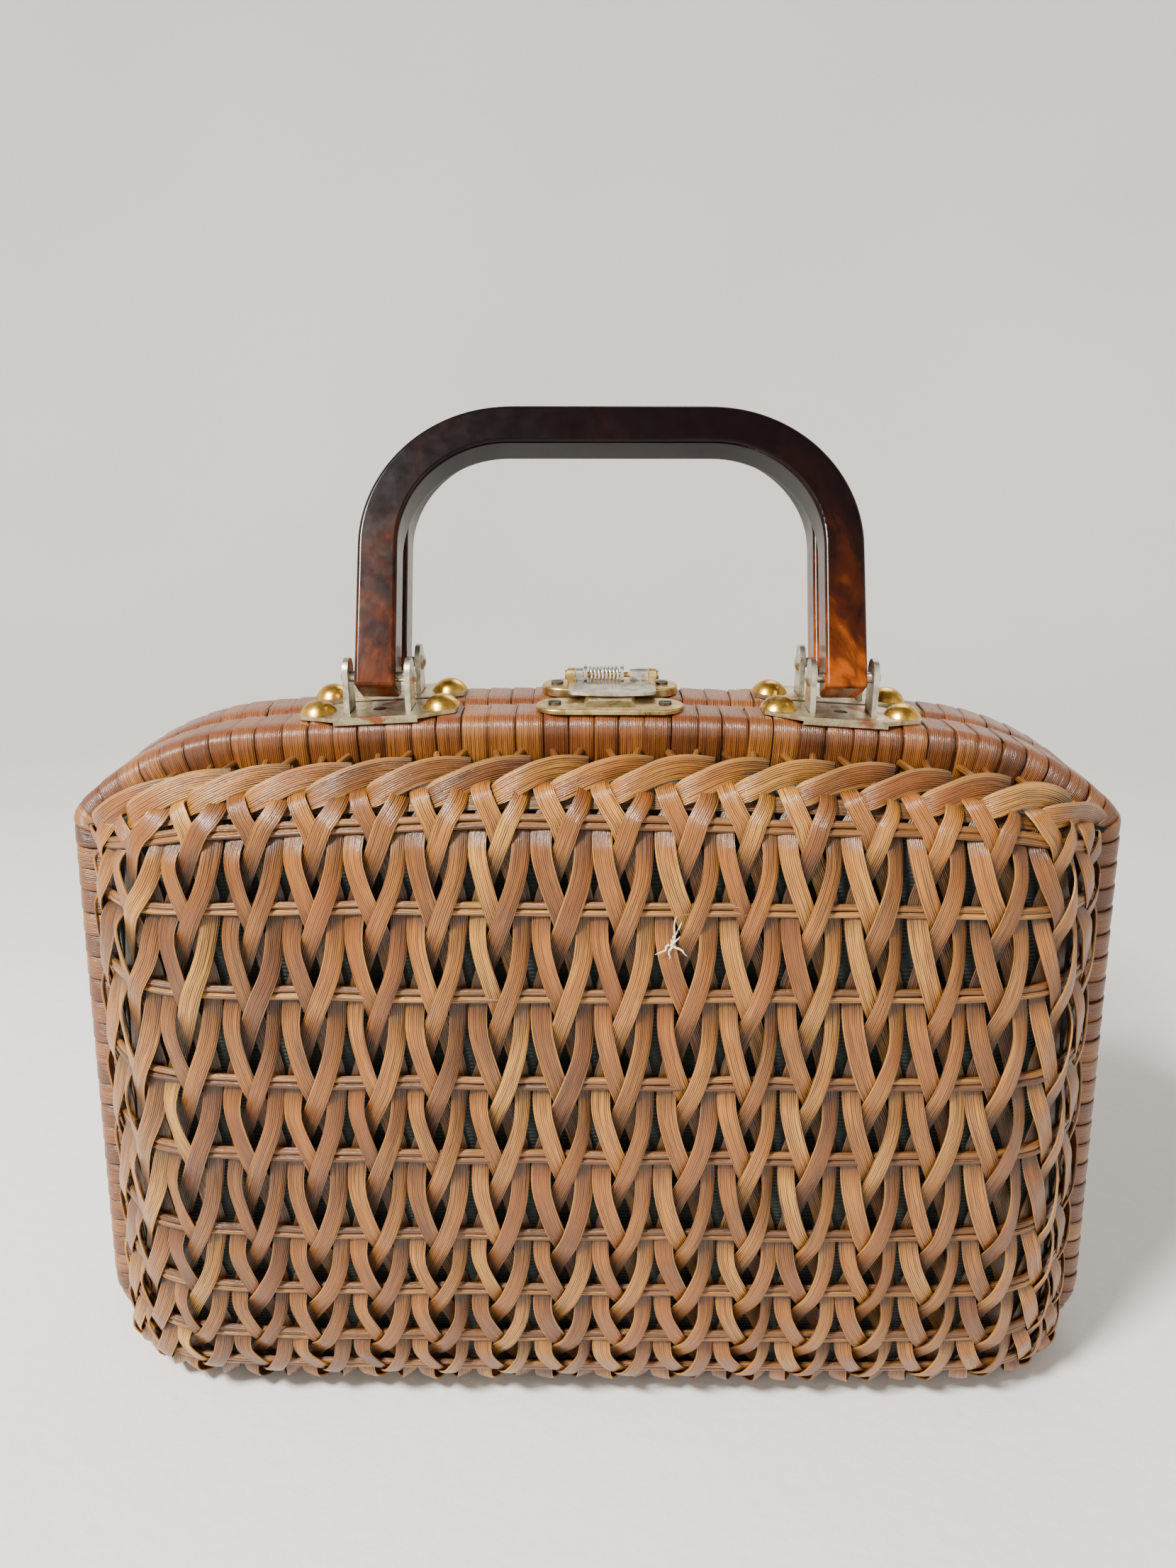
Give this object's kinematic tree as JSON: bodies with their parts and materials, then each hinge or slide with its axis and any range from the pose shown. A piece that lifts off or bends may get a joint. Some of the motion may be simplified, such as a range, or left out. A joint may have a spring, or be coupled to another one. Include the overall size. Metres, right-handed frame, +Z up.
{
  "type": "basket box bag",
  "caption": "Clamshell wicker box bag with woven trays on cane-wrapped rims, a dark green lining, tortoiseshell handles, brass fittings and a sprung top clasp.",
  "frame": {"origin": "ground plane under the middle of the closed bag's body, on the parting plane between its two halves", "axes": "+Z up; +X to the bag's right as seen from the front; the front half is towards -Y and the rear half towards +Y"},
  "size_m": [0.3306, 0.1115, 0.3064],
  "materials": {
    "cane_tray": "glossy varnished flat cane",
    "cane_rim": "glossy varnished flat cane",
    "hoop_wood": "bare",
    "lining_cloth": "ribbed matt",
    "tortoiseshell": "polished, mottled amber and dark brown",
    "plate_brass": "pale plated, worn",
    "tack_brass": "polished",
    "bracket_steel": "plated, worn",
    "clasp_brass": "plated, worn",
    "clasp_nickel": "nickel plated",
    "screw_steel": "darkened",
    "hinge_brass": "satin"
  },
  "bodies": {
    "rear_half": {"clasp_base_plate": "clasp_brass", "clasp_base_screws": "screw_steel", "clasp_pin": "clasp_brass", "clasp_spring": "clasp_nickel", "clasp_spring_washers": "clasp_nickel", "hinge_pins": "hinge_brass", "rear_bracket_screws": "bracket_steel", "rear_handle_pins": "bracket_steel", "rear_hinge_screws": "hinge_brass", "rear_left_ear_bracket": "bracket_steel", "rear_left_handle_plate": "plate_brass", "rear_left_hinge_leaf": "hinge_brass", "rear_lining": "lining_cloth", "rear_right_ear_bracket": "bracket_steel", "rear_right_handle_plate": "plate_brass", "rear_right_hinge_leaf": "hinge_brass", "rear_rim_hoop": "hoop_wood", "rear_rim_wrapping": "cane_rim", "rear_tacks": "tack_brass", "rear_woven_tray": "cane_tray"},
    "front_half": {"front_bracket_screws": "screw_steel", "front_handle_pins": "bracket_steel", "front_hinge_screws": "hinge_brass", "front_left_ear_bracket": "bracket_steel", "front_left_handle_plate": "plate_brass", "front_left_hinge_leaf": "hinge_brass", "front_lining": "lining_cloth", "front_right_ear_bracket": "bracket_steel", "front_right_handle_plate": "plate_brass", "front_right_hinge_leaf": "hinge_brass", "front_rim_hoop": "hoop_wood", "front_rim_wrapping": "cane_rim", "front_tacks": "tack_brass", "front_woven_tray": "cane_tray", "catch_plate": "clasp_brass", "catch_screws": "screw_steel"},
    "front_handle": {"front_handle": "tortoiseshell"},
    "rear_handle": {"rear_handle": "tortoiseshell"},
    "clasp_flap": {"clasp_flap": "clasp_nickel"}
  },
  "joints": [
    {"name": "opening", "type": "hinge", "parent": "rear_half", "child": "front_half", "pos_m": [0, 0, 0.0017], "axis": [1, 0, 0], "range_deg": [0, 85]},
    {"name": "front_handle_swing", "type": "hinge", "parent": "front_half", "child": "front_handle", "pos_m": [0.0043, -0.0102, 0.2313], "axis": [1, 0, 0], "range_deg": [0, 125]},
    {"name": "rear_handle_swing", "type": "hinge", "parent": "rear_half", "child": "rear_handle", "pos_m": [0.0043, 0.0102, 0.2313], "axis": [-1, 0, 0], "range_deg": [0, 66]},
    {"name": "clasp_lift", "type": "hinge", "parent": "rear_half", "child": "clasp_flap", "pos_m": [0.0043, 0.0084, 0.2277], "axis": [-1, 0, 0], "range_deg": [0, 60], "stiffness_Nm_per_rad": 0.02, "springref_deg": -45.84}
  ]
}
